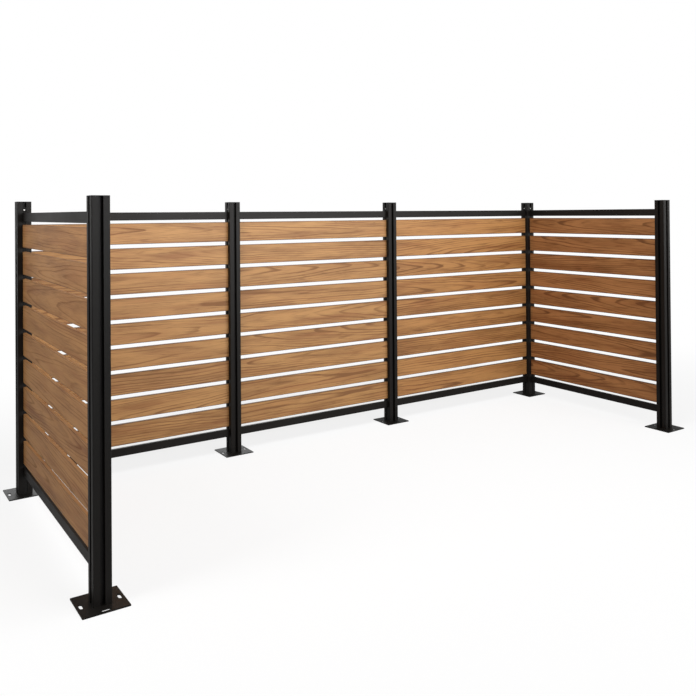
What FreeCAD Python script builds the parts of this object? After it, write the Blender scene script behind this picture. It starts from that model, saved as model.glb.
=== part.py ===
import FreeCAD, Part

# Garden privacy screen: six square channelled posts stand on base plates in a U, and five
# panels of nine horizontal boards, each between a top and a bottom rail, slide into the
# posts' channels.  Millimetres.  +X runs along the rear wall, +Z is up, and the open front
# faces -Y.  The origin lies on the floor, in the middle of the screen's footprint.

import math
import os

import Sketcher
from FreeCAD import Placement, Rotation, Vector

DOC = FreeCAD.newDocument("GardenPrivacyScreen")
SHEET = DOC.addObject("Spreadsheet::Sheet", "Sizes")

# ---------------------------------------------------------------------------------- sizes

DRIVING = (
    # post extrusion
    ("post_width", 82, "outer width of the square post"),
    ("post_wall", 2.5, "wall of the extrusion"),
    ("post_corner_radius", 3, "outer corners of the post"),
    ("post_head", 67, "post above the top rail"),
    ("channel_depth", 20, "depth of each face's channel"),
    ("channel_clearance", 1, "board to channel wall, on each side"),
    ("port_inset", 3, "screw port's centre beyond the channel floor"),
    ("port_wall", 2.5, "wall round a screw port"),
    # layout, between post centres
    ("left_wing_length", 1630, "left wing, front post to corner post"),
    ("rear_left_length", 1420, "rear wall, left bay"),
    ("rear_middle_length", 1420, "rear wall, middle bay"),
    ("rear_right_length", 1630, "rear wall, right bay"),
    ("right_wing_length", 1420, "right wing, front post to corner post"),
    # infill
    ("infill_thickness", 20, "boards and rails"),
    ("board_height", 140, "face height of a board"),
    ("board_gap", 26, "open gap between two boards"),
    ("board_count", 9, "boards in a panel"),
    ("board_edge_radius", 2.5, "long edges of a board"),
    ("rail_height", 54, "face height of a rail"),
    ("rail_gap", 19, "open gap between a rail and the next board"),
    ("rail_wall", 2, "wall of the rail's tube"),
    ("rail_edge_radius", 1.5, "long edges of a rail"),
    ("floor_clearance", 110, "bottom rail above the base plate"),
    ("end_clearance", 3, "board or rail end to the channel floor"),
    # pieces in the channels
    ("block_depth", 16.5, "blocks and spacers, out of the channel"),
    ("block_clearance", 0.5, "blocks and spacers to the channel wall"),
    ("lock_block_height", 34, "block that holds the top rail down"),
    ("lock_screw_radius", 2.5, "shank of a lock screw"),
    ("lock_screw_clearance", 0.2, "shank in its holes"),
    ("lock_screw_grip", 7, "shank past the channel floor"),
    ("lock_head_radius", 5, "head of a lock screw, at its seat"),
    ("lock_crown_radius", 3.6, "head of a lock screw, at its crown"),
    ("lock_head_height", 2.8, "head of a lock screw"),
    ("lock_socket_radius", 2.1, "corners of a lock screw's hexagon socket"),
    ("lock_socket_depth", 1.7, "hexagon socket of a lock screw"),
    # foot and head of the post
    ("plate_width", 210, "square base plate"),
    ("plate_thickness", 6, "base plate"),
    ("plate_corner_radius", 3, "base plate's corners"),
    ("slot_width", 16, "anchor slot"),
    ("slot_length", 42, "anchor slot, end to end"),
    ("slot_inset", 20, "anchor slot's centre line from the plate's edge"),
    ("foot_screw_radius", 2.5, "shank of a foot screw"),
    ("foot_screw_length", 38, "shank of a foot screw"),
    ("foot_head_radius", 5, "countersunk head of a foot screw"),
    ("foot_head_recess", 0.3, "head above the plate's underside"),
    ("foot_socket_radius", 2.1, "corners of a foot screw's hexagon socket"),
    ("foot_socket_depth", 1.75, "hexagon socket of a foot screw"),
    ("thread_clearance", 0.1, "screw to its port's bore"),
    ("hole_clearance", 0.3, "screw to its hole in the plate"),
    ("cap_thickness", 3, "post cap"),
    ("cap_edge", 0.8, "chamfer round the cap's top"),
    ("plug_depth", 14, "cap's plug in the core"),
    ("plug_wall", 2, "wall of the plug"),
    ("plug_clearance", 0.3, "plug to the core"),
)

DERIVED = (
    ("half_post", "post_width / 2"),
    ("channel_width", "infill_thickness + 2 * channel_clearance"),
    ("half_channel", "channel_width / 2"),
    ("channel_floor", "half_post - channel_depth"),
    ("core_half", "channel_floor - post_wall"),
    ("chamber_inner", "half_channel + post_wall"),
    ("chamber_outer", "half_post - post_wall"),
    ("port_bore", "foot_screw_radius + thread_clearance"),
    ("port_radius", "port_bore + port_wall"),
    ("port_offset", "channel_floor + port_inset"),
    # levels above the floor
    ("bottom_rail_level", "plate_thickness + floor_clearance"),
    ("bottom_rail_top", "bottom_rail_level + rail_height"),
    ("first_board_level", "bottom_rail_top + rail_gap"),
    ("board_pitch", "board_height + board_gap"),
    ("first_board_top", "first_board_level + board_height"),
    ("last_board_top", "first_board_level + board_count * board_pitch - board_gap"),
    ("top_rail_level", "last_board_top + rail_gap"),
    ("top_rail_top", "top_rail_level + rail_height"),
    ("lock_level", "top_rail_top + lock_block_height / 2"),
    ("post_top", "top_rail_top + post_head"),
    ("post_length", "post_top - plate_thickness"),
    # post lines
    ("rear_length", "rear_left_length + rear_middle_length + rear_right_length"),
    ("left_line", "-rear_length / 2"),
    ("inner_left_line", "left_line + rear_left_length"),
    ("inner_right_line", "inner_left_line + rear_middle_length"),
    ("right_line", "rear_length / 2"),
    ("rear_line", "max(left_wing_length; right_wing_length) / 2"),
    ("front_left_line", "rear_line - left_wing_length"),
    ("front_right_line", "rear_line - right_wing_length"),
    # infill
    ("infill_start", "channel_floor + end_clearance"),
    ("half_infill", "infill_thickness / 2"),
    ("half_rail_bore", "half_infill - rail_wall"),
    ("rail_bore_top", "rail_height - rail_wall"),
    ("spacer_occurrences", "board_count - 1"),
    ("spacer_run", "(board_count - 2) * board_pitch"),
    # pieces in the channels
    ("block_face", "channel_floor + block_depth"),
    ("half_block", "half_channel - block_clearance"),
    ("lock_hole", "lock_screw_radius + lock_screw_clearance"),
    ("lock_tip", "channel_floor - lock_screw_grip"),
    ("lock_shank", "block_face - lock_tip"),
    # foot and head of the post
    ("half_plate", "plate_width / 2"),
    ("slot_radius", "slot_width / 2"),
    ("slot_line", "half_plate - slot_inset"),
    ("slot_reach", "slot_length / 2 - slot_radius"),
    ("foot_hole", "foot_screw_radius + hole_clearance"),
    ("foot_head_height", "foot_head_radius - foot_screw_radius"),
    ("countersink", "foot_head_radius + foot_head_recess + thread_clearance - foot_hole"),
    ("foot_shank_level", "foot_head_recess + foot_head_height"),
    ("plug_half", "core_half - plug_clearance"),
    ("plug_bore_half", "plug_half - plug_wall"),
)

# faces of a post, each a quarter turn on from the one before, from +X round by +Y
FACES = ("right", "back", "left", "front")

PANELS = (
    # name, post at its start, face of that post
    ("left_wing", "front_left", "back"),
    ("rear_left", "rear_left", "right"),
    ("rear_middle", "rear_inner_left", "right"),
    ("rear_right", "rear_inner_right", "right"),
    ("right_wing", "front_right", "back"),
)

POSTS = {
    # name: its lines in X and Y, and the faces whose channels hold a panel
    "front_left": ("left_line", "front_left_line", ("back",)),
    "rear_left": ("left_line", "rear_line", ("front", "right")),
    "rear_inner_left": ("inner_left_line", "rear_line", ("left", "right")),
    "rear_inner_right": ("inner_right_line", "rear_line", ("left", "right")),
    "rear_right": ("right_line", "rear_line", ("left", "front")),
    "front_right": ("right_line", "front_right_line", ("back",)),
}

# plane that a face's cross holes are drawn on, and whether they run along its normal
HOLE_PLANES = {
    "right": ("YZ_Plane", True),
    "back": ("XZ_Plane", False),
    "left": ("YZ_Plane", False),
    "front": ("XZ_Plane", True),
}

TOLERANCE = 1e-6


def fill_sheet():
    """Write the driving sizes, then the sizes worked out from them."""
    row = 1
    for name, number, note in DRIVING:
        SHEET.set("A%d" % row, name)
        SHEET.set("B%d" % row, str(number))
        SHEET.set("C%d" % row, note)
        SHEET.setAlias("B%d" % row, name)
        row += 1
    panel_boards = tuple(
        (name + "_board", "%s_length - 2 * infill_start" % name) for name, post, face in PANELS
    )
    for name, formula in DERIVED + panel_boards:
        SHEET.set("A%d" % row, name)
        SHEET.set("B%d" % row, "=" + formula)
        SHEET.setAlias("B%d" % row, name)
        row += 1
    DOC.recompute()


def size(term):
    """Value of a named size; a leading minus turns its sign."""
    value = float(SHEET.get(term.lstrip("-")))
    return -value if term.startswith("-") else value


def cell(term):
    """The same size as an expression."""
    return ("-Sizes." if term.startswith("-") else "Sizes.") + term.lstrip("-")


def opposite(term):
    """The same size with its sign turned."""
    return term[1:] if term.startswith("-") else "-" + term


def turned(point, face):
    """A point of named sizes, turned about the origin from the right face to another."""
    x_term, y_term = point
    for quarter in range(FACES.index(face)):
        x_term, y_term = opposite(y_term), x_term
    return x_term, y_term


def quarter_turn(face):
    """Rotation about +Z from the right face to another."""
    angle = FACES.index(face) * math.pi / 2
    return Rotation(Vector(0, 0, 1), math.degrees(angle))


def bind(item, prop, expression):
    """Tie a property to an expression on the sheet."""
    item.setExpression(prop, expression)


# --------------------------------------------------------------------- sketches, features


def new_body(label):
    body = DOC.addObject("PartDesign::Body", label)
    body.Label = label
    return body


def sketch_on(body, role, name, level=None):
    """A sketch on one of the body's origin planes, raised to a named level."""
    plane = [item for item in body.Origin.OriginFeatures if item.Role == role][0]
    sketch = body.newObject("Sketcher::SketchObject", name)
    sketch.AttachmentSupport = [(plane, "")]
    sketch.MapMode = "FlatFace"
    if level:
        bind(sketch, "AttachmentOffset.Base.z", cell(level))
    return sketch


def dimension(sketch, kind, where, term):
    """A driving dimension that takes its value from the sheet."""
    index = sketch.addConstraint(Sketcher.Constraint(kind, *where, size(term)))
    bind(sketch, "Constraints[%d]" % index, cell(term))


def locate(sketch, item, point, kind, term):
    """Hold a point at a named distance from the other axis, or on it where the term is None."""
    if term:
        dimension(sketch, kind, (-1, 1, item, point), term)
    else:
        axis = -2 if kind == "DistanceX" else -1
        sketch.addConstraint(Sketcher.Constraint("PointOnObject", item, point, axis))


def outline(sketch, corners):
    """A closed outline of level and upright lines through corners of named sizes."""
    points = [Vector(*(size(term) if term else 0 for term in corner), 0) for corner in corners]
    count = len(corners)
    first = sketch.GeometryCount
    for number in range(count):
        sketch.addGeometry(Part.LineSegment(points[number], points[(number + 1) % count]))
    for number in range(count):
        line = first + number
        following = first + (number + 1) % count
        sketch.addConstraint(Sketcher.Constraint("Coincident", line, 2, following, 1))
        x_term, y_term = corners[number]
        if x_term == corners[(number + 1) % count][0]:
            sketch.addConstraint(Sketcher.Constraint("Vertical", line))
            locate(sketch, line, 1, "DistanceX", x_term)
        else:
            sketch.addConstraint(Sketcher.Constraint("Horizontal", line))
            locate(sketch, line, 1, "DistanceY", y_term)


def rectangle(sketch, low_x, low_y, high_x, high_y):
    outline(sketch, ((low_x, low_y), (high_x, low_y), (high_x, high_y), (low_x, high_y)))


def square(sketch, half):
    rectangle(sketch, opposite(half), opposite(half), half, half)


def circle(sketch, x_term, y_term, radius_term):
    """A circle round a named point; a term of None puts its centre on that axis."""
    centre = Vector(size(x_term) if x_term else 0, size(y_term) if y_term else 0, 0)
    ring = sketch.addGeometry(Part.Circle(centre, Vector(0, 0, 1), size(radius_term)))
    locate(sketch, ring, 3, "DistanceX", x_term)
    locate(sketch, ring, 3, "DistanceY", y_term)
    dimension(sketch, "Radius", (ring,), radius_term)


def upright_slot(sketch, x_term, reach_term, radius_term):
    """A slot along Y, centred on the X axis, from arcs joined by two tangent lines."""
    line_x, reach, radius = size(x_term), size(reach_term), size(radius_term)
    axis = Vector(0, 0, 1)
    upper = Part.Circle(Vector(line_x, reach, 0), axis, radius)
    lower = Part.Circle(Vector(line_x, -reach, 0), axis, radius)
    top = sketch.addGeometry(Part.ArcOfCircle(upper, 0, math.pi))
    foot = sketch.addGeometry(Part.ArcOfCircle(lower, math.pi, 2 * math.pi))
    left = sketch.addGeometry(
        Part.LineSegment(Vector(line_x - radius, reach, 0), Vector(line_x - radius, -reach, 0))
    )
    right = sketch.addGeometry(
        Part.LineSegment(Vector(line_x + radius, -reach, 0), Vector(line_x + radius, reach, 0))
    )
    sketch.addConstraint(Sketcher.Constraint("Tangent", top, 2, left, 1))
    sketch.addConstraint(Sketcher.Constraint("Tangent", left, 2, foot, 1))
    sketch.addConstraint(Sketcher.Constraint("Tangent", foot, 2, right, 1))
    sketch.addConstraint(Sketcher.Constraint("Tangent", right, 2, top, 1))
    sketch.addConstraint(Sketcher.Constraint("Vertical", left))
    dimension(sketch, "DistanceX", (-1, 1, top, 3), x_term)
    dimension(sketch, "DistanceY", (-1, 1, top, 3), reach_term)
    dimension(sketch, "DistanceY", (-1, 1, foot, 3), opposite(reach_term))
    dimension(sketch, "Radius", (top,), radius_term)


def pad(body, sketch, name, length, downward=False):
    feature = body.newObject("PartDesign::Pad", name)
    feature.Profile = sketch
    feature.Reversed = downward
    bind(feature, "Length", cell(length))
    DOC.recompute()
    return feature


def pocket(body, sketch, name, length, along_normal=True):
    """Cut a sketch into the solid and make sure that something was cut."""
    before = body.Shape.Volume
    feature = body.newObject("PartDesign::Pocket", name)
    feature.Profile = sketch
    feature.Reversed = along_normal
    bind(feature, "Length", cell(length))
    DOC.recompute()
    if body.Shape.Volume > before - TOLERANCE:
        raise RuntimeError("%s cuts nothing" % name)
    return feature


def pattern(body, kind, name, feature, axis_role):
    """A polar or linear pattern of one feature about or along an origin axis."""
    repeat = body.newObject("PartDesign::" + kind, name)
    axis = [item for item in body.Origin.OriginFeatures if item.Role == axis_role][0]
    repeat.Originals = [feature]
    if kind == "PolarPattern":
        repeat.Axis = (axis, [""])
    else:
        repeat.Direction = (axis, [""])
    body.Tip = repeat
    return repeat


def edge_names(feature, wanted):
    """Names of a feature's edges that a test picks out."""
    edges = enumerate(feature.Shape.Edges, 1)
    return ["Edge%d" % number for number, edge in edges if wanted(edge)]


def dress(body, kind, name, feature, prop, term, wanted):
    """Round or chamfer the edges that a test picks out."""
    finish = body.newObject("PartDesign::" + kind, name)
    finish.Base = (feature, edge_names(feature, wanted))
    bind(finish, prop, cell(term))
    DOC.recompute()
    return finish


def corner_edge(half_x, half_y, axis):
    """Test for straight edges along an axis at the corners of a centred section."""
    others = [index for index in range(3) if index != axis]

    def wanted(edge):
        if edge.Curve.TypeId != "Part::GeomLine":
            return False
        run = edge.Vertexes[1].Point - edge.Vertexes[0].Point
        middle = edge.CenterOfMass
        along = abs(run[axis]) > run.Length - TOLERANCE
        first = abs(abs(middle[others[0]]) - half_x) < TOLERANCE
        second = abs(abs(middle[others[1]]) - half_y) < TOLERANCE
        return along and first and second

    return wanted


# ---------------------------------------------------------------------------------- posts


def post_outline():
    """Corners of the post's section: a square with a channel in each face."""
    corners = (
        ("half_post", "-half_post"),
        ("half_post", "-half_channel"),
        ("channel_floor", "-half_channel"),
        ("channel_floor", "half_channel"),
        ("half_post", "half_channel"),
    )
    return [turned(point, face) for face in FACES for point in corners]


def chamber_outline(face):
    """Corners of a hollow corner, which wraps round the core's own corner."""
    corners = (
        ("channel_floor", "chamber_inner"),
        ("chamber_outer", "chamber_inner"),
        ("chamber_outer", "chamber_outer"),
        ("chamber_inner", "chamber_outer"),
        ("chamber_inner", "channel_floor"),
        ("channel_floor", "channel_floor"),
    )
    return [turned(point, face) for point in corners]


def make_post(name, x_term, y_term, occupied):
    """Aluminium extrusion with a lock screw's hole through each occupied channel's floor."""
    body = new_body(name + "_post")
    section = sketch_on(body, "XY_Plane", name + "_section", "plate_thickness")
    outline(section, post_outline())
    square(section, "core_half")
    for face in FACES:
        outline(section, chamber_outline(face))
    extrusion = pad(body, section, name + "_extrusion", "post_length")

    half = size("half_post")
    dress(body, "Fillet", name + "_corners", extrusion, "Radius", "post_corner_radius",
          corner_edge(half, half, 2))

    ports = sketch_on(body, "XY_Plane", name + "_port_rings", "plate_thickness")
    bores = sketch_on(body, "XY_Plane", name + "_port_bores", "plate_thickness")
    for face in FACES:
        centre = turned(("port_offset", "port_offset"), face)
        circle(ports, *centre, "port_radius")
        circle(bores, *centre, "port_bore")
    pad(body, ports, name + "_ports", "post_length")
    pocket(body, bores, name + "_bores", "post_length")

    for face in occupied:
        role, along_normal = HOLE_PLANES[face]
        hole = sketch_on(body, role, "%s_lock_hole_%s" % (name, face))
        circle(hole, None, "lock_level", "lock_hole")
        pocket(body, hole, "%s_lock_cut_%s" % (name, face), "half_post", along_normal)

    bind(body, "Placement.Base.x", cell(x_term))
    bind(body, "Placement.Base.y", cell(y_term))
    return body


# --------------------------------------------------------------------------------- infill


def place_in_panel(item, post, face, level, step=None):
    """Start a board or rail inside its first post's channel, at a named level."""
    x_term, y_term, occupied = POSTS[post]
    item.Placement.Rotation = quarter_turn(face)
    along, across = ("x", "y") if face == "right" else ("y", "x")
    terms = {"x": x_term, "y": y_term}
    bind(item, "Placement.Base." + along, cell(terms[along]) + " + Sizes.infill_start")
    bind(item, "Placement.Base." + across, cell(terms[across]))
    height = cell(level)
    if step:
        height += " + %d * Sizes.board_pitch" % step
    bind(item, "Placement.Base.z", height)


def long_edge(height_term):
    """Test for the four long edges of a board or rail that starts at its lower face."""
    height = size(height_term)
    half = size("half_infill")

    def wanted(edge):
        middle = edge.CenterOfMass
        upright = min(abs(middle.z), abs(middle.z - height)) < TOLERANCE
        outer = abs(abs(middle.y) - half) < TOLERANCE
        run = edge.Vertexes[1].Point - edge.Vertexes[0].Point
        return upright and outer and abs(run.x) > run.Length - TOLERANCE

    return wanted


def bar(label, height_term, length_term, radius_term, hollow=False):
    """A bar along +X with rounded long edges, solid or with a bore through it."""
    body = new_body(label)
    section = sketch_on(body, "YZ_Plane", label + "_section")
    rectangle(section, "-half_infill", None, "half_infill", height_term)
    if hollow:
        rectangle(section, "-half_rail_bore", "rail_wall", "half_rail_bore", "rail_bore_top")
    solid = pad(body, section, label + "_bar", length_term)
    dress(body, "Fillet", label + "_edges", solid, "Radius", radius_term, long_edge(height_term))
    return body


def make_boards(panel, post, face):
    """The boards of one panel, numbered from the lowest."""
    boards = []
    for number in range(int(size("board_count"))):
        label = "%s_board_%d" % (panel, number + 1)
        board = bar(label, "board_height", panel + "_board", "board_edge_radius")
        place_in_panel(board, post, face, "first_board_level", number)
        boards.append(board)
    return boards


def make_rails(label, level):
    """One rail for each panel, all at one level."""
    rails = []
    for panel, post, face in PANELS:
        rail = bar("%s_%s" % (panel, label), "rail_height", panel + "_board",
                   "rail_edge_radius", hollow=True)
        place_in_panel(rail, post, face, level)
        rails.append(rail)
    return compound(label + "s", rails)


# --------------------------------------------------------------- groups of like pieces


def compound(label, pieces):
    group = DOC.addObject("Part::Compound", label)
    group.Label = label
    group.Links = pieces
    return group


def link(master, label, x_term, y_term, face="right"):
    """A copy of a piece that was made for a post at the origin."""
    copy = DOC.addObject("App::Link", label)
    copy.LinkedObject = master
    copy.LinkTransform = False
    copy.Placement = Placement(Vector(0, 0, 0), quarter_turn(face))
    bind(copy, "Placement.Base.x", cell(x_term))
    bind(copy, "Placement.Base.y", cell(y_term))
    return copy


def at_each_post(label, master):
    """One copy of a piece at every post."""
    return compound(label, [
        link(master, "%s_%s" % (label, name), x_term, y_term)
        for name, (x_term, y_term, occupied) in POSTS.items()
    ])


def in_each_channel(label, master):
    """One copy of a piece, made for the right channel, in every occupied channel."""
    return compound(label, [
        link(master, "%s_%s_%s" % (label, name, face), x_term, y_term, face)
        for name, (x_term, y_term, occupied) in POSTS.items()
        for face in occupied
    ])


def block_section(body, name, level):
    """Section of a block or spacer in the right channel."""
    sketch = sketch_on(body, "XY_Plane", name, level)
    rectangle(sketch, "channel_floor", "-half_block", "block_face", "half_block")
    return sketch


def make_spacers():
    """A channel's stack of spacers: one at each rail and one between each pair of boards."""
    body = new_body("spacer_stack")
    body.AllowCompound = True
    pad(body, block_section(body, "low_spacer_section", "bottom_rail_top"),
        "low_spacer", "rail_gap")
    first = pad(body, block_section(body, "board_spacer_section", "first_board_top"),
                "board_spacer", "board_gap")
    spacers = pattern(body, "LinearPattern", "spacer_row", first, "Z_Axis")
    bind(spacers, "Length", "Sizes.spacer_run")
    bind(spacers, "Occurrences", "Sizes.spacer_occurrences")
    DOC.recompute()
    pad(body, block_section(body, "high_spacer_section", "last_board_top"),
        "high_spacer", "rail_gap")
    return body


def make_support_block():
    """Block that stands on the base plate and carries the bottom rail's end."""
    body = new_body("support_block")
    pad(body, block_section(body, "support_section", "plate_thickness"),
        "support_pad", "floor_clearance")
    return body


def make_lock_block():
    """Block that sits on the top rail's end, with the lock screw's hole."""
    body = new_body("lock_block")
    pad(body, block_section(body, "lock_section", "top_rail_top"), "lock_pad",
        "lock_block_height")
    hole = sketch_on(body, "YZ_Plane", "lock_hole_section")
    circle(hole, None, "lock_level", "lock_hole")
    pocket(body, hole, "lock_hole_cut", "half_post")
    return body


def primitive(kind, name, placement, **terms):
    """A Part primitive with its sizes and height tied to the sheet."""
    item = DOC.addObject("Part::" + kind, name)
    item.Placement = placement
    for prop, expression in terms.items():
        bind(item, prop.replace("__", "."), expression)
    return item


def boolean(kind, name, base, tool):
    item = DOC.addObject("Part::" + kind, name)
    item.Base = base
    item.Tool = tool
    return item


def make_lock_screw():
    """Button-head screw along +X, through the lock block into the channel floor."""
    outward = Placement(Vector(0, 0, 0), Rotation(Vector(0, 1, 0), 90))
    level = {"Placement__Base__z": "Sizes.lock_level"}
    shank = primitive("Cylinder", "lock_shank", outward, Radius="Sizes.lock_screw_radius",
                      Height="Sizes.lock_shank", Placement__Base__x="Sizes.lock_tip", **level)
    head = primitive("Cone", "lock_head", outward, Radius1="Sizes.lock_head_radius",
                     Radius2="Sizes.lock_crown_radius", Height="Sizes.lock_head_height",
                     Placement__Base__x="Sizes.block_face", **level)
    socket = primitive("Prism", "lock_socket", outward, Circumradius="Sizes.lock_socket_radius",
                       Height="Sizes.lock_socket_depth",
                       Placement__Base__x="Sizes.block_face + Sizes.lock_head_height"
                                          " - Sizes.lock_socket_depth", **level)
    screw = boolean("Fuse", "lock_screw_blank", shank, head)
    return boolean("Cut", "lock_screw", screw, socket)


def make_foot_screws():
    """A post's four countersunk screws, up through the base plate into the ports."""
    upright = Placement()
    head = primitive("Cone", "foot_head", upright, Radius1="Sizes.foot_head_radius",
                     Radius2="Sizes.foot_screw_radius", Height="Sizes.foot_head_height",
                     Placement__Base__z="Sizes.foot_head_recess")
    shank = primitive("Cylinder", "foot_shank", upright, Radius="Sizes.foot_screw_radius",
                      Height="Sizes.foot_screw_length",
                      Placement__Base__z="Sizes.foot_shank_level")
    socket = primitive("Prism", "foot_socket", upright, Circumradius="Sizes.foot_socket_radius",
                       Height="Sizes.foot_socket_depth",
                       Placement__Base__z="Sizes.foot_head_recess")
    blank = boolean("Fuse", "foot_screw_blank", head, shank)
    screw = boolean("Cut", "foot_screw", blank, socket)
    screws = []
    for face in FACES:
        x_term, y_term = turned(("port_offset", "port_offset"), face)
        screws.append(link(screw, "foot_screw_" + face, x_term, y_term))
    return compound("foot_screw_set", screws)


def make_base_plate():
    """Square plate with an anchor slot beside each side and the foot screws' holes."""
    body = new_body("base_plate")
    section = sketch_on(body, "XY_Plane", "plate_section")
    square(section, "half_plate")
    sheet = pad(body, section, "plate", "plate_thickness")
    half = size("half_plate")
    dress(body, "Fillet", "plate_corners", sheet, "Radius", "plate_corner_radius",
          corner_edge(half, half, 2))

    slot = sketch_on(body, "XY_Plane", "slot_section")
    upright_slot(slot, "slot_line", "slot_reach", "slot_radius")
    cut = pocket(body, slot, "slot_cut", "plate_thickness")
    slots = pattern(body, "PolarPattern", "slots", cut, "Z_Axis")
    slots.Angle = 360
    slots.Occurrences = len(FACES)
    DOC.recompute()

    holes = sketch_on(body, "XY_Plane", "hole_section")
    for face in FACES:
        circle(holes, *turned(("port_offset", "port_offset"), face), "foot_hole")
    drilled = pocket(body, holes, "hole_cut", "plate_thickness")

    def hole_mouth(edge):
        ring = edge.Curve.TypeId == "Part::GeomCircle"
        return (ring and abs(edge.Curve.Radius - size("foot_hole")) < TOLERANCE
                and abs(edge.CenterOfMass.z) < TOLERANCE)

    dress(body, "Chamfer", "countersinks", drilled, "Size", "countersink", hole_mouth)
    return body


def make_cap():
    """Flat cap with a hollow plug that sits in the post's core."""
    body = new_body("post_cap")
    section = sketch_on(body, "XY_Plane", "cap_section", "post_top")
    square(section, "half_post")
    lid = pad(body, section, "cap_lid", "cap_thickness")
    half = size("half_post")
    rounded = dress(body, "Fillet", "cap_corners", lid, "Radius", "post_corner_radius",
                    corner_edge(half, half, 2))
    top = size("post_top") + size("cap_thickness")
    dress(body, "Chamfer", "cap_rim", rounded, "Size", "cap_edge",
          lambda edge: all(abs(vertex.Z - top) < TOLERANCE for vertex in edge.Vertexes))
    plug = sketch_on(body, "XY_Plane", "plug_section", "post_top")
    square(plug, "plug_half")
    square(plug, "plug_bore_half")
    pad(body, plug, "cap_plug", "plug_depth", downward=True)
    return body


# ------------------------------------------------------------------------------- assembly


def build():
    """Every sub-part of the screen, in the order of its assembly."""
    nodes = [at_each_post("base_plates", make_base_plate())]
    for name, (x_term, y_term, occupied) in POSTS.items():
        nodes.append(make_post(name, x_term, y_term, occupied))
    nodes.append(at_each_post("foot_screws", make_foot_screws()))
    nodes.append(in_each_channel("rail_support_blocks", make_support_block()))
    nodes.append(make_rails("bottom_rail", "bottom_rail_level"))
    for panel, post, face in PANELS:
        nodes.extend(make_boards(panel, post, face))
    nodes.append(in_each_channel("board_spacers", make_spacers()))
    nodes.append(make_rails("top_rail", "top_rail_level"))
    nodes.append(in_each_channel("rail_lock_blocks", make_lock_block()))
    nodes.append(in_each_channel("lock_screws", make_lock_screw()))
    nodes.append(at_each_post("post_caps", make_cap()))
    DOC.recompute()
    return nodes


def check(nodes):
    """Stop unless every object computed and every sub-part is a sound shape."""
    for item in DOC.Objects:
        if "Invalid" in item.State or "Error" in item.State:
            raise RuntimeError("%s failed to compute: %s" % (item.Label, item.State))
    for node in nodes:
        shape = node.Shape
        if shape.isNull() or not shape.isValid() or not shape.Solids:
            raise RuntimeError("%s has no sound shape" % node.Label)


def export(nodes):
    os.makedirs("parts", exist_ok=True)
    for node in nodes:
        node.Shape.exportStep("parts/%s.step" % node.Label)
    print("%d nodes, %d solids" % (len(nodes), sum(len(node.Shape.Solids) for node in nodes)))


def main():
    fill_sheet()
    nodes = build()
    check(nodes)
    export(nodes)


main()
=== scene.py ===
import math

import bpy
import numpy as np
from bpy.props import FloatProperty, FloatVectorProperty, IntProperty, PointerProperty
from mathutils import Matrix, Vector


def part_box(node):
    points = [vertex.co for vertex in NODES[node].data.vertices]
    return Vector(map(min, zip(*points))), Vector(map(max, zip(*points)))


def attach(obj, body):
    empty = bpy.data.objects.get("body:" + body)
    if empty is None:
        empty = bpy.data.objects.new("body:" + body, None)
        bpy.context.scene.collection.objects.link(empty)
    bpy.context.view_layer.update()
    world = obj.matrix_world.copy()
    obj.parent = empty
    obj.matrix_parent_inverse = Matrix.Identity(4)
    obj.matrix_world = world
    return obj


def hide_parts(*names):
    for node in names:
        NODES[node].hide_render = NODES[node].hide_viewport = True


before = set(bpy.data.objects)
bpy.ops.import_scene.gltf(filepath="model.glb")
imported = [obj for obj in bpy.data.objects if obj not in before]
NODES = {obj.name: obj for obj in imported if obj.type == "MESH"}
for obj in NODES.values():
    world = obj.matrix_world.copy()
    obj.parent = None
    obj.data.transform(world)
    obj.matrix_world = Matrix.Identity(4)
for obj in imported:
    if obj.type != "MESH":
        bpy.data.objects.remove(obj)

bl_info = {
    "name": "Garden Privacy Screen",
    "version": (1, 0, 0),
    "blender": (4, 5, 0),
    "location": "3D View > Sidebar > Screen",
    "description": "Finishes, screw heads and studio of a garden privacy screen",
    "category": "Object",
}

PANELS = {
    # each panel, and whether it stands along Y
    "left_wing": True,
    "rear_left": False,
    "rear_middle": False,
    "rear_right": False,
    "right_wing": True,
}
POSTS = (
    "front_left_post",
    "rear_left_post",
    "rear_inner_left_post",
    "rear_inner_right_post",
    "rear_right_post",
    "front_right_post",
)

# width and height of the photograph in pixels
PICTURE_SIZE = 696.0


def board_rows():
    """Height of the lowest board's middle, the pitch from board to board and a board's height."""
    low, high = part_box("rear_left_board_1")
    next_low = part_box("rear_left_board_2")[0]
    return (low.z + high.z) / 2, next_low.z - low.z, high.z - low.z


FIRST_ROW, ROW_PITCH, BOARD_HEIGHT = board_rows()
BOARD_NAMES = sorted(name for name in NODES if "_board_" in name)


# ------------------------------------------------------------------------ shader arithmetic


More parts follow.
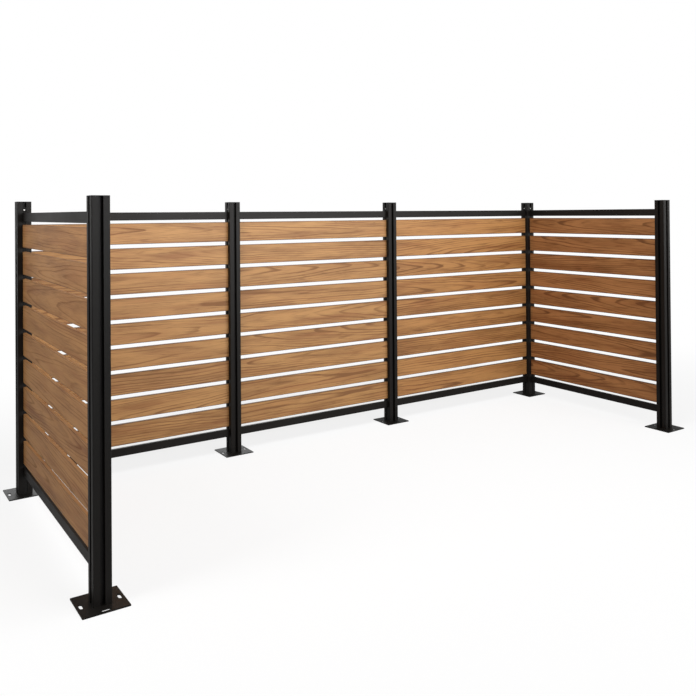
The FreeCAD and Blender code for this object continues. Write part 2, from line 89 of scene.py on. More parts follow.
class Value:
    """A number that varies over a surface. Arithmetic on it adds Math nodes."""

    def __init__(self, graph, socket):
        self.graph = graph
        self.socket = socket

    def math(self, operation, *others):
        made = self.graph.node("Math", {"operation": operation}, dict(enumerate((self, *others))))
        return Value(self.graph, made.outputs[0])

    def swapped(self, operation, other):
        made = self.graph.node("Math", {"operation": operation}, {0: other, 1: self})
        return Value(self.graph, made.outputs[0])

    def __add__(self, other):
        return self.math("ADD", other)

    __radd__ = __add__

    def __sub__(self, other):
        return self.math("SUBTRACT", other)

    def __rsub__(self, other):
        return self.swapped("SUBTRACT", other)

    def __mul__(self, other):
        return self.math("MULTIPLY", other)

    __rmul__ = __mul__

    def __truediv__(self, other):
        return self.math("DIVIDE", other)

    def __rtruediv__(self, other):
        return self.swapped("DIVIDE", other)

    def __abs__(self):
        return self.math("ABSOLUTE")

    def __gt__(self, other):
        return self.math("GREATER_THAN", other)

    def root(self):
        return self.math("SQRT")

    def floor(self):
        return self.math("FLOOR")

    def fraction(self):
        return self.math("FRACT")

    def clipped(self):
        return self.math("MINIMUM", 1.0).math("MAXIMUM", 0.0)

    def swing(self, size):
        """How far a value from 0 to 1 is from its middle, times a size."""
        return (self - 0.5) * size

    def step(self, low, high):
        """0 below low, 1 above high and smooth between them."""
        made = self.graph.node(
            "MapRange",
            {"interpolation_type": "SMOOTHSTEP"},
            {"Value": self, "From Min": low, "From Max": high},
        )
        return Value(self.graph, made.outputs["Result"])


class Graph:
    """The nodes of one material or of the world."""

    # The Mix node has sockets of the same name for each kind of data, so colours go by number.
    MIX_AMOUNT, MIX_FIRST, MIX_SECOND = 0, 6, 7
    MIX_RESULT = 2

    def __init__(self, tree):
        self.tree = tree
        tree.nodes.clear()

    def node(self, kind, settings=None, sockets=None):
        """Add a node; its settings come first, then the values or links of its sockets."""
        made = self.tree.nodes.new("ShaderNode" + kind)
        for name, setting in (settings or {}).items():
            setattr(made, name, setting)
        for name, value in (sockets or {}).items():
            socket = made.inputs[name]
            if isinstance(value, Value):
                value = value.socket
            if isinstance(value, bpy.types.NodeSocket):
                self.tree.links.new(value, socket)
            elif isinstance(socket, bpy.types.NodeSocketColor):
                socket.default_value = (*value, 1.0)
            else:
                socket.default_value = value
        return made

    def here(self):
        """The point on the surface in the object's own metres."""
        return self.node("TexCoord").outputs["Object"]

    def place(self):
        """The same point as three values."""
        return self.split(self.here())

    def split(self, vector):
        parts = self.node("SeparateXYZ", None, {"Vector": vector})
        return [Value(self, parts.outputs[axis]) for axis in "XYZ"]

    def point(self, x, y, z):
        return self.node("CombineXYZ", None, {"X": x, "Y": y, "Z": z}).outputs["Vector"]

    def noise(self, point, scale, detail=2.0, roughness=0.5):
        made = self.node(
            "TexNoise",
            {"noise_dimensions": "3D"},
            {"Vector": point, "Scale": scale, "Detail": detail, "Roughness": roughness},
        )
        return Value(self, made.outputs["Fac"])

    def random(self, number):
        """Three values from 0 to 1 that belong to a number."""
        made = self.node("TexWhiteNoise", {"noise_dimensions": "1D"}, {"W": number})
        return self.split(made.outputs["Color"])

    def mix(self, amount, first, second):
        """A colour that goes from the first to the second as amount goes from 0 to 1."""
        made = self.node(
            "Mix",
            {"data_type": "RGBA"},
            {self.MIX_AMOUNT: amount, self.MIX_FIRST: first, self.MIX_SECOND: second},
        )
        return made.outputs[self.MIX_RESULT]

    def bump(self, height, strength, distance):
        made = self.node(
            "Bump", None, {"Height": height, "Strength": strength, "Distance": distance}
        )
        return made.outputs["Normal"]

    def surface(self, sockets):
        """End in a Principled shader with these sockets."""
        shader = self.node("BsdfPrincipled", None, sockets)
        self.node("OutputMaterial", None, {"Surface": shader.outputs[0]})


def new_material(name):
    material = bpy.data.materials.new(name)
    material.use_nodes = True
    return material, Graph(material.node_tree)


def scaled(colour, *factors):
    """A colour times one factor, or times one for each of its three parts."""
    return tuple((np.array(colour) * factors).tolist())


def dress(node, material):
    """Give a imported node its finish."""
    item = NODES[node]
    if not item.material_slots:
        raise RuntimeError(node + " has no material slot")
    for slot in item.material_slots:
        slot.material = material


# ------------------------------------------------------------------------------ wood finish

# step of the random number from panel to panel, longer than a panel's nine rows
PANEL_STEP = 23.7
# stretch of log, in metres, that the boards take their own parts of
LOG_RANGE = 40.0
# least distance of the pith behind a board's middle plane, and what a board can add to it
PITH_DEPTH, PITH_DEPTH_RANGE = 0.028, 0.05
# range of the pith's height from board to board, and along one board
PITH_SIDE_RANGE, PITH_SWAY = 0.17, 0.06
# range of the log's taper, in metres of radius for each metre of length
TAPER_RANGE = 0.13
# how far the rings waver, and the range of the first ring's number
RING_WAVE, RING_START_RANGE = 0.018, 9.0

# where in a ring's phase the late wood starts, is full, begins to end and has ended
LATE_START, LATE_FULL, LATE_LAST, LATE_END = 0.56, 0.88, 0.90, 1.0
# share of its late wood that a weak year keeps
WEAK_YEAR = 0.2

# parts of the boards' tone, as shares of the dark colour
WOOD_BASE = 0.18
BOARD_SWING = 0.32
CLOUD_SWING = 1.7
FIBRE_SWING = 1.3
PORE_SHARE = 0.30
PALE_STREAK_SHARE = 0.5

# distances from a board's middle plane between which the figure grows, so its edges are plain
FACE_START, FACE_FULL = 0.0070, 0.0085
# distance from a long edge at which the band of painted shade is full, and its share of the dark
# colour
EDGE_SHADE_FULL, EDGE_SHADE_TONE = 0.0015, 0.30
# reddish clouds: their strength, and their tint of the dark colour
BLUSH_SHARE = 0.30
BLUSH_TINT = (1.2, 0.86, 0.82)


class BoardPoint:
    """A point on a panel's boards, in metres, with three numbers drawn for its own board.

    along runs with the panel, across through the boards' thickness from their middle plane, and
    height up from the board's middle line.  run is along, moved to the board's own stretch of
    log.  shift, lift and width are the board's three numbers from 0 to 1.
    """

    def __init__(self, graph, middle, along_y, seed):
        x, y, z = graph.place()
        if along_y:
            self.along, self.across = y, x - middle.x
        else:
            self.along, self.across = x, y - middle.y
        row = ((z - FIRST_ROW) / ROW_PITCH + 0.5).floor()
        self.graph = graph
        self.height = z - FIRST_ROW - row * ROW_PITCH
        self.shift, self.lift, self.width = graph.random(row + seed * PANEL_STEP)
        self.run = self.along + self.shift * LOG_RANGE

    def noise(self, along, across, height, scale, detail, roughness=0.5, bend=None):
        """Noise on coordinates with a factor for each direction; bend shifts the height."""
        level = self.height * height
        if bend is not None:
            level = level + bend
        point = self.graph.point(self.run * along, self.across * across, level)
        return self.graph.noise(point, scale, detail, roughness)


def late_wood(graph, at, wave, ring_spacing):
    """Share of late wood at a point of a board.

    The ring number is the distance from the pith's line, plus the taper times the way along the
    board and a little wave, over the ring spacing.  The late wood is the last part of a ring, and
    every ring comes from a stronger or a weaker year.
    """
    sway = graph.noise(graph.point(at.run, at.width * 30.0, 7.0), 1.2, 1.0)
    pith_depth = PITH_DEPTH + at.width * PITH_DEPTH_RANGE + at.across
    pith_side = at.height - at.lift.swing(PITH_SIDE_RANGE) - sway.swing(PITH_SWAY)
    distance = (pith_side * pith_side + pith_depth * pith_depth).root()
    taper = at.shift.swing(TAPER_RANGE)

    rings = (distance + at.along * taper + wave * RING_WAVE) / ring_spacing
    rings = rings + at.width * RING_START_RANGE
    phase = rings.fraction()
    late = phase.step(LATE_START, LATE_FULL) * (1.0 - phase.step(LATE_LAST, LATE_END))
    year = graph.noise(graph.point(rings.floor() * 0.73, at.shift * 9.0, at.run * 0.9), 1.0, 0.0)
    return late * (year.step(0.38, 0.62) * (1.0 - WEAK_YEAR) + WEAK_YEAR)


def board_wood(name, along_y, seed, pale, deep, figure, sheen, edge, look):
    """Flat-sawn grain.

    Growth rings are slender cones round a pith behind the board's face.  In front of the pith
    they show as nested arches, and beside it as long lines.  Streaks, fibres, pores and clouds
    of tone are noise that is drawn out along the board.  Every board has its own stretch of log.
    figure is the strength of rings and streaks, sheen that of the reflection and edge that of
    the painted shade: a darker band along the long edges and over the top and bottom faces.
    """
    material, graph = new_material(name)
    low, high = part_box(name.replace("wood_", "") + "_board_1")
    at = BoardPoint(graph, (low + high) / 2, along_y, seed)
    bends = graph.point(at.run * 0.8, at.height * 6.0, at.across * 6.0)
    wave = graph.noise(bends, 2.8) - 0.5
    late = late_wood(graph, at, wave, look.ring_spacing)

    streak = at.noise(0.9, 32.0, 32.0, 6.0, 2.0, 0.55, bend=wave * 2.0)
    dark_streak = streak.step(0.54, 0.66)
    pale_streak = 1.0 - streak.step(0.32, 0.44)
    fibre = at.noise(1.6, 110.0, 110.0, 6.0, 3.0, 0.6)
    fine = at.noise(9.0, 330.0, 330.0, 4.0, 2.0, 0.6)
    cloud = at.noise(1.1, 8.0, 9.0, 1.8, 2.0)
    pores = fine.step(0.60, 0.72) * (0.35 + late * 0.65)

    face = abs(at.across).step(FACE_START, FACE_FULL)
    streaks = dark_streak - pale_streak * PALE_STREAK_SHARE
    tone = (
        late * face * look.ring_contrast * figure
        + streaks * face * look.streak_contrast * figure
        + fibre.swing(FIBRE_SWING)
        + cloud.swing(CLOUD_SWING)
        + pores * PORE_SHARE
        + WOOD_BASE
        + at.lift.swing(BOARD_SWING)
    ).clipped()
    colour = graph.mix(tone, pale, deep)
    red = at.noise(0.8, 5.0, 9.0, 2.4, 2.0).step(0.45, 0.75)
    colour = graph.mix(red * BLUSH_SHARE, colour, scaled(deep, *BLUSH_TINT))
    # painted shade: the outer part of each face near a long edge, and the whole top and bottom
    # faces, are darkened towards the dark colour, standing in for the shade on the rounded edges
    # and in the gaps between boards
    rim = abs(at.height).step(BOARD_HEIGHT / 2 - look.edge_shade_band, BOARD_HEIGHT / 2 - EDGE_SHADE_FULL)
    colour = graph.mix(rim * edge, colour, scaled(deep, EDGE_SHADE_TONE))

    relief = fibre * 0.5 + fine * 0.25 - late * 0.45 - pores * 0.6
    graph.surface({
        "Base Color": colour,
        "Roughness": (look.sheen_roughness + late * 0.10 + fibre.swing(0.16)).clipped(),
        "Specular IOR Level": look.sheen * sheen,
        "Normal": graph.bump(relief, 0.35, 0.0006),
    })
    return material


# ---------------------------------------------------------------------------- dark finishes

# lines along an extrusion are noise on coordinates times these, across it and along it
LINE_ACROSS, LINE_ALONG = 260.0, 1.2
# The wings' rails, and the very ends of the rear wall's, are beyond a plane this far inside the
# left wing's boards.
WING_MARGIN = 0.12

# parts of the coat's tone, as shares of the dusty colour, and how much lighter that is
COAT_BASE = 0.35
COAT_CLOUD_SWING = 1.1
COAT_LINE_SWING = 0.5
COAT_SPECK_SHARE = 0.25
DUST_TONE = 1.7


def extrusion_lines(graph, x, y, z):
    """Lines along the axis whose coordinate has the small factor."""
    return graph.noise(graph.point(x, y, z), 1.0)


def post_lines(graph):
    """Upright lines."""
    x, y, z = graph.place()
    return extrusion_lines(graph, x * LINE_ACROSS, y * LINE_ACROSS, z * LINE_ALONG)


def rail_lines(graph):
    """Lines along X on the rear wall's rails and along Y on the wings' rails."""
    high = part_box("left_wing_board_1")[1]
    x, y, z = graph.place()
    wing = abs(x) > abs(high.x) - WING_MARGIN
    rear_lines = extrusion_lines(graph, x * LINE_ALONG, y * LINE_ACROSS, z * LINE_ACROSS)
    wing_lines = extrusion_lines(graph, x * LINE_ACROSS, y * LINE_ALONG, z * LINE_ACROSS)
    return rear_lines * (1.0 - wing) + wing_lines * wing


def sheet_lines(graph):
    """Soft blotches of rolled or moulded pieces."""
    return graph.noise(graph.here(), 38.0, 3.0, 0.6)


def satin_coat(name, lines_of, look, tone=1.0):
    """Black powder coat: a fine orange peel over faint lines, with clouds and specks of dust.

    lines_of makes the lines in a graph, and tone is the coat's brightness.
    """
    material, graph = new_material(name)
    x, y, z = graph.place()
    peel = graph.noise(graph.here(), look.peel_density, 2.0, 0.55)
    cloud = graph.noise(graph.point(x, y, z * 0.6), 3.2, 3.0, 0.55)
    speck = graph.noise(graph.here(), 150.0, 1.0).step(0.66, 0.74)
    lines = lines_of(graph)
    coat = scaled(look.coat_colour, tone)
    dust = (
        cloud.swing(COAT_CLOUD_SWING)
        + lines.swing(COAT_LINE_SWING)
        + speck * COAT_SPECK_SHARE
        + COAT_BASE
    ).clipped()
    graph.surface({
        "Base Color": graph.mix(dust, coat, scaled(coat, DUST_TONE)),
        "Roughness": (look.coat_roughness + cloud.swing(0.16) + lines.swing(0.10)).clipped(),
        "Specular IOR Level": look.coat_gloss,
        "Normal": graph.bump(peel * 0.6 + lines * 0.4, 0.22, 0.0003),
    })
    return material


def matte_plastic(name, look):
    """Spark-textured black plastic of the spacers and blocks."""
    material, graph = new_material(name)
    texture = graph.noise(graph.here(), 1400.0, 2.0, 0.6)
    cloud = graph.noise(graph.here(), 24.0)
    graph.surface({
        "Base Color": graph.mix(cloud, scaled(look.coat_colour, 0.6), look.coat_colour),
        "Roughness": (0.62 + texture.swing(0.2)).clipped(),
        "Specular IOR Level": 0.25,
        "Normal": graph.bump(texture, 0.3, 0.0002),
    })
    return material


def plated_steel(name):
    """Zinc-plated steel with a fine grain and a little tarnish."""
    material, graph = new_material(name)
    grain = graph.noise(graph.here(), 900.0, 2.0, 0.6)
    tarnish = graph.noise(graph.here(), 160.0)
    graph.surface({
        "Base Color": graph.mix(tarnish, (0.72, 0.71, 0.69), (0.50, 0.49, 0.47)),
        "Metallic": 1.0,
        "Roughness": (0.26 + grain.swing(0.2) + tarnish.swing(0.15)).clipped(),
        "Normal": graph.bump(grain, 0.15, 0.0001),
    })
    return material


# --------------------------------------------------------------------------------- surfaces

# half the side of a cube round a board's end that holds that end's lock screw and no other
SCREW_REACH = 0.06
# rows of points from a screw head's shoulder to its socket's rim
DOME_ROWS = 9
# heights of the shoulder and of the socket's floor as shares of the head's height
SHOULDER_SHARE, SOCKET_FLOOR_SHARE = 0.2, 0.4
# height of the socket's deepest point as a share of its floor's
SOCKET_POINT_SHARE = 0.7
# radius of the socket's rim as a share of the radius at its corners
RIM_SHARE = 1.15
# angle in degrees from which an edge of the screws stays sharp
SHARP_ANGLE = 35.0


def revolved(radii, levels, low_pole, high_pole):
    """A closed surface round the Z axis, as points, quads and triangles.

    The point at angle a of row r is (radii * cos a, radii * sin a, level of r).  The rows are
    joined by quads, and a fan closes each end at a pole on the axis.
    """
    rows, columns = radii.shape
    turn = np.linspace(0.0, 2.0 * np.pi, columns, endpoint=False)
    level = np.repeat(levels[:, None], columns, axis=1)
    rings = np.stack([radii * np.cos(turn), radii * np.sin(turn), level], axis=-1)
    poles = [(0.0, 0.0, low_pole), (0.0, 0.0, high_pole)]
    points = np.concatenate([rings.reshape(-1, 3), poles])

    row, column = np.meshgrid(np.arange(rows - 1), np.arange(columns), indexing="ij")
    following = (column + 1) % columns
    quads = np.stack([
        row * columns + column,
        row * columns + following,
        (row + 1) * columns + following,
        (row + 1) * columns + column,
    ], axis=-1).reshape(-1, 4)
    low = np.arange(columns)
    low_next = (low + 1) % columns
    high, high_next = (rows - 1) * columns + low, (rows - 1) * columns + low_next
    pole = np.full(columns, rows * columns)
    fans = np.concatenate([
        np.stack([pole, low_next, low], axis=-1),
        np.stack([pole + 1, high, high_next], axis=-1),
    ])
    return points, quads, fans


def button_screw(reach, look):
    """A domed screw with a hexagon socket, along +Z from its seat at 0, and its shank below.

    The dome is a quarter of an ellipse from the head's shoulder to the socket's rim.  The
    socket's points lie on a hexagon: its flats' distance over the cosine of the angle to the
    middle of the nearest flat.
    """
    turn = np.linspace(0.0, 2.0 * np.pi, look.segments, endpoint=False)
    sector = np.pi / 3.0
    corner = look.head_radius * look.socket_share
    hexagon = corner * np.cos(sector / 2.0) / np.cos(turn % sector - sector / 2.0)
    rise = np.linspace(0.0, np.pi / 2.0, DOME_ROWS)
    rim = corner * RIM_SHARE
    shoulder = look.head_height * SHOULDER_SHARE
    floor = look.head_height * SOCKET_FLOOR_SHARE
    dome = rim + (look.head_radius - rim) * np.cos(rise)
    profile = np.concatenate([[look.shank_radius, look.shank_radius, look.head_radius], dome])
    radii = profile[:, None] * np.ones(look.segments)
    radii = np.concatenate([radii, hexagon[None], hexagon[None]])
    levels = np.concatenate([
        [-reach, 0.0, 0.0],
        shoulder + (look.head_height - shoulder) * np.sin(rise),
        [look.head_height, floor],
    ])
    return revolved(radii, levels, -reach, floor * SOCKET_POINT_SHARE)


def lock_screw_places(head_height):
    """Seats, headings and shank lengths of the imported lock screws, two on each panel's line."""
    mesh = NODES["lock_screws"].data
    points = np.empty(len(mesh.vertices) * 3)
    mesh.vertices.foreach_get("co", points)
    points = points.reshape(-1, 3)
    low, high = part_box("lock_screws")
    level = (low.z + high.z) / 2
    places = []
    for panel, along_y in PANELS.items():
        start, end = (np.array(corner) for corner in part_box(panel + "_board_1"))
        axis = np.array([0.0, 1.0, 0.0]) if along_y else np.array([1.0, 0.0, 0.0])
        middle = (start + end) / 2
        middle[2] = level
        for corner, heading in ((start, axis), (end, -axis)):
            foot = middle + axis * np.dot(corner - middle, axis)
            own = points[np.abs(points - foot).max(axis=1) < SCREW_REACH]
            along = (own - foot) @ heading
            seat = foot + heading * (along.max() - head_height)
            places.append((seat, heading, np.ptp(along) - head_height))
    return places


# ------------------------------------------------------------------------------- properties


def colour_setting(name, description, default):
    return FloatVectorProperty(
        name=name, description=description, subtype="COLOR", size=3, min=0.0, max=1.0,
        default=default,
    )


def number_setting(name, description, default, least=0.0, most=1.0):
    return FloatProperty(
        name=name, description=description, min=least, max=most, default=default
    )


def length_setting(name, description, default, least, most):
    return FloatProperty(
        name=name, description=description, unit="LENGTH", min=least, max=most, default=default
    )


def power_setting(name, description, default):
    return FloatProperty(
        name=name, description=description, unit="POWER", min=0.0, max=5000.0, default=default
    )


class BoardLook(bpy.types.PropertyGroup):
    rear_pale: colour_setting(
        "Rear, pale wood", "Colour between the growth rings on the left and middle bays",
        (0.515, 0.266, 0.090),
    )
    rear_deep: colour_setting(
        "Rear, dark wood", "Colour of the growth rings on the left and middle bays",
        (0.235, 0.098, 0.027),
    )
    # painted shade: the left wing's colours are a darker, redder copy of the rear wood, standing
    # in for the shade on that wing
    left_pale_in_shade: colour_setting(
        "Left wing, pale wood", "Colour between the growth rings on the left wing",
        (0.500, 0.246, 0.089),
    )
    left_deep_in_shade: colour_setting(
        "Left wing, dark wood", "Colour of the growth rings on the left wing",
        (0.226, 0.090, 0.027),
    )
    # painted shade: the right bay's colours are a darker copy of the rear wood, standing in for
    # the shade on that bay
    corner_pale_in_shade: colour_setting(
        "Right bay, pale wood", "Colour between the growth rings on the right bay",
        (0.490, 0.236, 0.075),
    )
    corner_deep_in_shade: colour_setting(
        "Right bay, dark wood", "Colour of the growth rings on the right bay",
        (0.205, 0.080, 0.021),
    )
    # painted shade: the right wing's colours are a darker, redder copy of the rear wood, standing
    # in for the shade on the wing's inner face
    wing_pale_in_shade: colour_setting(
        "Right wing, pale wood", "Colour between the growth rings on the right wing",
        (0.460, 0.200, 0.070),
    )
    wing_deep_in_shade: colour_setting(
        "Right wing, dark wood", "Colour of the growth rings on the right wing",
        (0.185, 0.069, 0.020),
    )
    ring_spacing: length_setting(
        "Ring spacing", "Distance from one growth ring to the next", 0.015, 0.002, 0.05
    )
    ring_contrast: number_setting(
        "Ring contrast", "Share of the dark colour in a growth ring", 0.92
    )
    streak_contrast: number_setting(
        "Streak contrast", "Share of the dark colour in a streak of pores", 0.42
    )
    # painted shade: width of the darkened band along the boards' long edges
    edge_shade_band: length_setting(
        "Edge band", "Width of the darker band along a board's long edges", 0.007, 0.0005, 0.02
    )
    sheen: number_setting("Sheen", "Strength of the wood's reflection", 0.52)
    sheen_roughness: number_setting("Roughness", "Roughness of the wood between the rings", 0.48)


class CoatLook(bpy.types.PropertyGroup):
    coat_colour: colour_setting(
        "Coat", "Colour of the black powder coat", (0.0056, 0.0046, 0.0038)
    )
    coat_roughness: number_setting("Roughness", "Roughness of the powder coat", 0.42)
    coat_gloss: number_setting("Gloss", "Strength of the coat's reflection", 0.22)
    peel_density: number_setting(
        "Orange peel", "Bumps of the coat in a metre", 700.0, 50.0, 3000.0
    )


class ScrewLook(bpy.types.PropertyGroup):
    head_radius: length_setting(
        "Head radius", "Radius of a lock screw's button head", 0.005, 0.002, 0.01
    )
    head_height: length_setting(
        "Head height", "Height of a lock screw's button head", 0.0028, 0.001, 0.006
    )
    shank_radius: length_setting(
        "Shank radius", "Radius of a lock screw's shank", 0.0025, 0.001, 0.005
    )
    socket_share: number_setting(
        "Socket", "Corner radius of the hexagon socket as a share of the head's radius",
        0.44, 0.2, 0.7,
    )
    segments: IntProperty(
        name="Segments",
        description="Points round a screw head, a multiple of six for the socket's corners",
        min=12, max=96, default=48,
    )


class StudioLook(bpy.types.PropertyGroup):
    focal_pixels: number_setting(
        "Focal length in pixels", "Focal length for a picture 696 pixels wide",
        765.03, 100.0, 5000.0,
    )
    camera_place: FloatVectorProperty(
        name="Camera",
        description="Place of the camera",
        subtype="TRANSLATION", unit="LENGTH", size=3, default=(-3.2061, -4.2492, 1.7112),
    )
    camera_turn: FloatVectorProperty(
        name="Camera turn",
        description="Turn to the right, tilt upwards and roll of the camera",
        subtype="EULER", unit="ROTATION", size=3, default=(0.5911, 0.0073, -0.0075),
    )
    horizon_row: number_setting(
        "Horizon", "Row of the picture that the camera looks at, from its top",
        208.0, 0.0, PICTURE_SIZE,
    )
    key_power: power_setting("Key light", "Power of the soft box in front", 290.0)
    fill_power: power_setting("Fill light", "Power of the wide soft box at the right", 115.0)
    top_power: power_setting("Top light", "Power of the soft box overhead", 100.0)
    side_power: power_setting("Side light", "Power of the strip light at the left", 90.0)
    back_power: power_setting("Back light", "Power of the soft box behind", 80.0)
    ambient: number_setting("Ambient", "Strength of the light from all round", 0.22, 0.0, 2.0)
    gloss_share: number_setting(
        "Background in gloss", "Strength of the white background in reflections", 0.22
    )
    floor_bounce: number_setting(
        "Floor bounce", "Share of the light that the floor throws back at the object", 0.30
    )
    shadow_share: number_setting(
        "Shadow", "Share of the object's shadow that the floor shows", 0.20
    )


# -------------------------------------------------------------------------------- operators


class SCREEN_OT_boards(bpy.types.Operator):
    """Finish the boards of the five panels"""

    bl_idname = "screen.boards"
    bl_label = "Boards"

    def execute(self, context):
        look = context.scene.screen_boards
        finishes = {
            # panel: pale and dark wood (the darker, redder copies on the left wing, the right bay
            # and the right wing are painted shade), the strength of the figure, sheen and the
            # strength of the painted shade on the edges
            "left_wing": (look.left_pale_in_shade, look.left_deep_in_shade, 0.6, 0.8, 0.35),
            "rear_left": (look.rear_pale, look.rear_deep, 1.0, 1.0, 0.8),
            "rear_middle": (look.rear_pale, look.rear_deep, 1.0, 1.0, 0.8),
            "rear_right": (look.corner_pale_in_shade, look.corner_deep_in_shade, 1.15, 0.9, 0.8),
            "right_wing": (look.wing_pale_in_shade, look.wing_deep_in_shade, 1.15, 0.6, 0.8),
        }
        for seed, (panel, along_y) in enumerate(PANELS.items(), 1):
            wood = board_wood("wood_" + panel, along_y, seed, *finishes[panel], look)
            for name in BOARD_NAMES:
                if name.startswith(panel + "_board"):
                    dress(name, wood)
        return {"FINISHED"}


class SCREEN_OT_posts(bpy.types.Operator):
    """Finish the posts with the black satin coat"""

    bl_idname = "screen.posts"
    bl_label = "Posts"

    def execute(self, context):
        coat = satin_coat("coat_posts", post_lines, context.scene.screen_coat)
        for name in POSTS:
            dress(name, coat)
        return {"FINISHED"}


class SCREEN_OT_rails(bpy.types.Operator):
    """Finish the top and bottom rails with the black satin coat"""

    bl_idname = "screen.rails"
    bl_label = "Rails"

    def execute(self, context):
        # painted sheen: the rails' coat is a lighter copy of the posts' coat, at 1.15 of its
        # tone, standing in for the rails' brighter reflection
        coat = satin_coat("coat_rails", rail_lines, context.scene.screen_coat, 1.15)
        for name in ("top_rails", "bottom_rails"):
            dress(name, coat)
        return {"FINISHED"}


class SCREEN_OT_plates(bpy.types.Operator):
    """Finish the base plates and the post caps"""

    bl_idname = "screen.plates"
    bl_label = "Base plates and caps"

    def execute(self, context):
        look = context.scene.screen_coat
        # painted shade: the plates' coat is a darker copy of the posts' coat, at 0.8 of its tone
        dress("base_plates", satin_coat("coat_plates", sheet_lines, look, 0.8))
        dress("post_caps", satin_coat("coat_caps", sheet_lines, look, 0.3))
        return {"FINISHED"}


class SCREEN_OT_channel_pieces(bpy.types.Operator):
    """Finish the spacers and blocks in the channels"""

    bl_idname = "screen.channel_pieces"
    bl_label = "Spacers and blocks"

    def execute(self, context):
        plastic = matte_plastic("plastic_channel", context.scene.screen_coat)
        for name in ("board_spacers", "rail_support_blocks", "rail_lock_blocks"):
            dress(name, plastic)
        return {"FINISHED"}


class SCREEN_OT_screws(bpy.types.Operator):
    """Make the lock screws with their button heads, and finish the foot screws"""

    bl_idname = "screen.screws"
    bl_label = "Screws"

    def execute(self, context):
        look = context.scene.screen_screws
        steel = plated_steel("steel_screws")
        dress("foot_screws", steel)
        upright = np.array([0.0, 0.0, 1.0])
        points, faces = [], []
        count = 0
        for seat, heading, reach in lock_screw_places(look.head_height):
            screw, quads, fans = button_screw(reach, look)
            axes = np.stack([np.cross(upright, heading), upright, heading])
            points.append(screw @ axes + seat)
            faces += (quads + count).tolist() + (fans + count).tolist()
            count += len(screw)
        mesh = bpy.data.meshes.new("lock_screw_set")
        mesh.from_pydata(np.concatenate(points).tolist(), [], faces)
        mesh.shade_smooth()
        mesh.set_sharp_from_angle(angle=math.radians(SHARP_ANGLE))
        mesh.materials.append(steel)
        piece = bpy.data.objects.new("lock_screw_set", mesh)
        context.scene.collection.objects.link(piece)
        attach(piece, "root")
        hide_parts("lock_screws")
        return {"FINISHED"}


WHITE = (1.0, 1.0, 1.0)
FLOOR_COLOUR = (0.95, 0.95, 0.95)
# half the side of the floor
FLOOR_REACH = 30.0
# strength of the floor's white in reflections, as a share of the surroundings'
FLOOR_GLOSS = 0.4
# The floor's shadow fades between these distances from its middle.  The square of the way along
# X counts with this share, because the screen is longer that way.
SHADOW_START, SHADOW_END = 1.6, 4.6
SHADOW_STRETCH = 0.5
SENSOR_WIDTH = 36.0
SOFT_BOXES = (
    # lamp, setting of its power, width, height, place and target
    ("key_light", "key_power", 5.6, 3.0, (2.2, -6.6, 2.5), (0.6, 0.6, 1.1)),
    ("fill_light", "fill_power", 6.5, 2.6, (9.3, -6.6, 2.3), (4.0, 0.6, 1.1)),
    ("top_light", "top_power", 5.0, 1.8, (0.2, -1.1, 4.1), (0.0, 0.8, 0.7)),
    ("side_light", "side_power", 1.2, 2.6, (-4.4, -0.8, 3.7), (-2.1, 0.0, 1.9)),
    ("back_light", "back_power", 6.5, 2.0, (0.3, 6.6, 1.6), (0.3, 0.9, 0.9)),
)


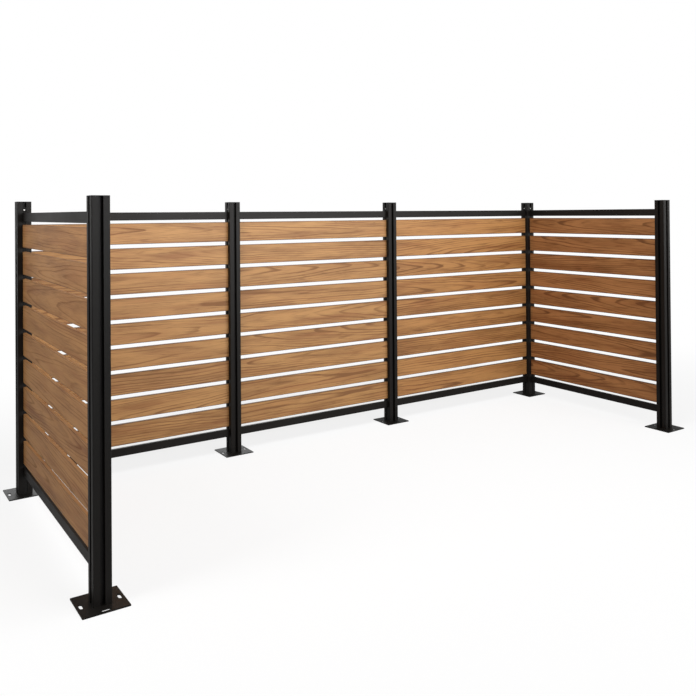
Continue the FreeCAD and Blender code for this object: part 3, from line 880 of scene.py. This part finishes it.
class SCREEN_OT_studio(bpy.types.Operator):
    """Build the floor, the lights, the white surroundings and the camera"""

    bl_idname = "screen.studio"
    bl_label = "Studio"

    def execute(self, context):
        scene = context.scene
        look = scene.screen_studio
        self.floor(scene, look)
        self.surroundings(scene, look)
        for name, power, width, height, place, target in SOFT_BOXES:
            self.soft_box(scene, name, getattr(look, power), width, height, place, target)
        self.camera(scene, look)
        scene.view_settings.view_transform = "Standard"
        return {"FINISHED"}

    def floor(self, scene, look):
        near, far = -FLOOR_REACH, FLOOR_REACH
        corners = [(near, near, 0.0), (far, near, 0.0), (far, far, 0.0), (near, far, 0.0)]
        mesh = bpy.data.meshes.new("floor")
        mesh.from_pydata(corners, [], [(0, 1, 2, 3)])
        item = bpy.data.objects.new("floor", mesh)
        scene.collection.objects.link(item)
        material, graph = new_material("studio_floor")
        seen = self.seen(graph, look.gloss_share * FLOOR_GLOSS)
        bounce = graph.mix(seen, (look.floor_bounce,) * 3, FLOOR_COLOUR)
        diffuse = graph.node("BsdfDiffuse", None, {"Color": bounce})
        glow = graph.node("Emission", None, {"Color": WHITE, "Strength": 1.0})
        x, y, _ = graph.place()
        away = (x * x * SHADOW_STRETCH + y * y).root().step(SHADOW_START, SHADOW_END)
        mixed = graph.node("MixShader", None, {
            0: seen * (1.0 - (1.0 - away) * look.shadow_share),
            1: diffuse.outputs[0],
            2: glow.outputs[0],
        })
        graph.node("OutputMaterial", None, {"Surface": mixed.outputs[0]})
        item.data.materials.append(material)

    def seen(self, graph, gloss_share):
        """Share of the white surroundings that camera, glossy and transmission rays see."""
        path = graph.node("LightPath")
        camera, gloss, through = (
            Value(graph, path.outputs["Is %s Ray" % kind])
            for kind in ("Camera", "Glossy", "Transmission")
        )
        return (camera + gloss * gloss_share + through).clipped()

    def surroundings(self, scene, look):
        world = bpy.data.worlds.new("studio")
        world.use_nodes = True
        scene.world = world
        graph = Graph(world.node_tree)
        strength = self.seen(graph, look.gloss_share) * (1.0 - look.ambient) + look.ambient
        light = graph.node("Background", None, {"Color": WHITE, "Strength": strength})
        graph.node("OutputWorld", None, {"Surface": light.outputs[0]})

    def soft_box(self, scene, name, power, width, height, place, target):
        lamp = bpy.data.lights.new(name, "AREA")
        lamp.shape = "RECTANGLE"
        lamp.size = width
        lamp.size_y = height
        lamp.energy = power
        item = bpy.data.objects.new(name, lamp)
        item.location = place
        item.rotation_mode = "QUATERNION"
        aim = Vector(target) - Vector(place)
        item.rotation_quaternion = aim.to_track_quat("-Z", "Y")
        scene.collection.objects.link(item)

    def camera(self, scene, look):
        """The camera looks almost level, and the picture is shifted to the screen's height."""
        yaw, pitch, roll = look.camera_turn
        forward = Vector((
            math.sin(yaw) * math.cos(pitch), math.cos(yaw) * math.cos(pitch), math.sin(pitch)
        ))
        right = Vector((math.cos(yaw), -math.sin(yaw), 0.0))
        up = right.cross(forward)
        rolled_right = right * math.cos(roll) + up * math.sin(roll)
        rolled_up = up * math.cos(roll) - right * math.sin(roll)
        turn = Matrix((rolled_right, rolled_up, -forward)).transposed()
        lens = bpy.data.cameras.new("camera")
        lens.sensor_width = SENSOR_WIDTH
        lens.lens = look.focal_pixels / PICTURE_SIZE * lens.sensor_width
        lens.shift_y = (look.horizon_row - PICTURE_SIZE / 2) / PICTURE_SIZE
        lens.clip_start = 0.05
        lens.clip_end = 200.0
        item = bpy.data.objects.new("camera", lens)
        item.matrix_world = Matrix.Translation(look.camera_place) @ turn.to_4x4()
        scene.collection.objects.link(item)
        scene.camera = item


class SCREEN_PT_panel(bpy.types.Panel):
    """The screen's settings and its steps"""

    bl_label = "Privacy screen"
    bl_space_type = "VIEW_3D"
    bl_region_type = "UI"
    bl_category = "Screen"

    def draw(self, context):
        for group_name, group in SETTINGS:
            settings = getattr(context.scene, group_name)
            box = self.layout.box()
            for name in group.__annotations__:
                box.prop(settings, name)
        for step in STEPS:
            self.layout.operator(step.bl_idname)


STEPS = (
    SCREEN_OT_boards,
    SCREEN_OT_posts,
    SCREEN_OT_rails,
    SCREEN_OT_plates,
    SCREEN_OT_channel_pieces,
    SCREEN_OT_screws,
    SCREEN_OT_studio,
)
SETTINGS = (
    ("screen_boards", BoardLook),
    ("screen_coat", CoatLook),
    ("screen_screws", ScrewLook),
    ("screen_studio", StudioLook),
)


def register():
    for name, group in SETTINGS:
        bpy.utils.register_class(group)
        setattr(bpy.types.Scene, name, PointerProperty(type=group))
    for step in STEPS:
        bpy.utils.register_class(step)
    bpy.utils.register_class(SCREEN_PT_panel)


def unregister():
    bpy.utils.unregister_class(SCREEN_PT_panel)
    for step in reversed(STEPS):
        bpy.utils.unregister_class(step)
    for name, group in reversed(SETTINGS):
        delattr(bpy.types.Scene, name)
        bpy.utils.unregister_class(group)


def main():
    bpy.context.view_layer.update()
    register()
    for step in STEPS:
        group, name = step.bl_idname.split(".")
        getattr(getattr(bpy.ops, group), name)()


if __name__ == "__main__":
    main()
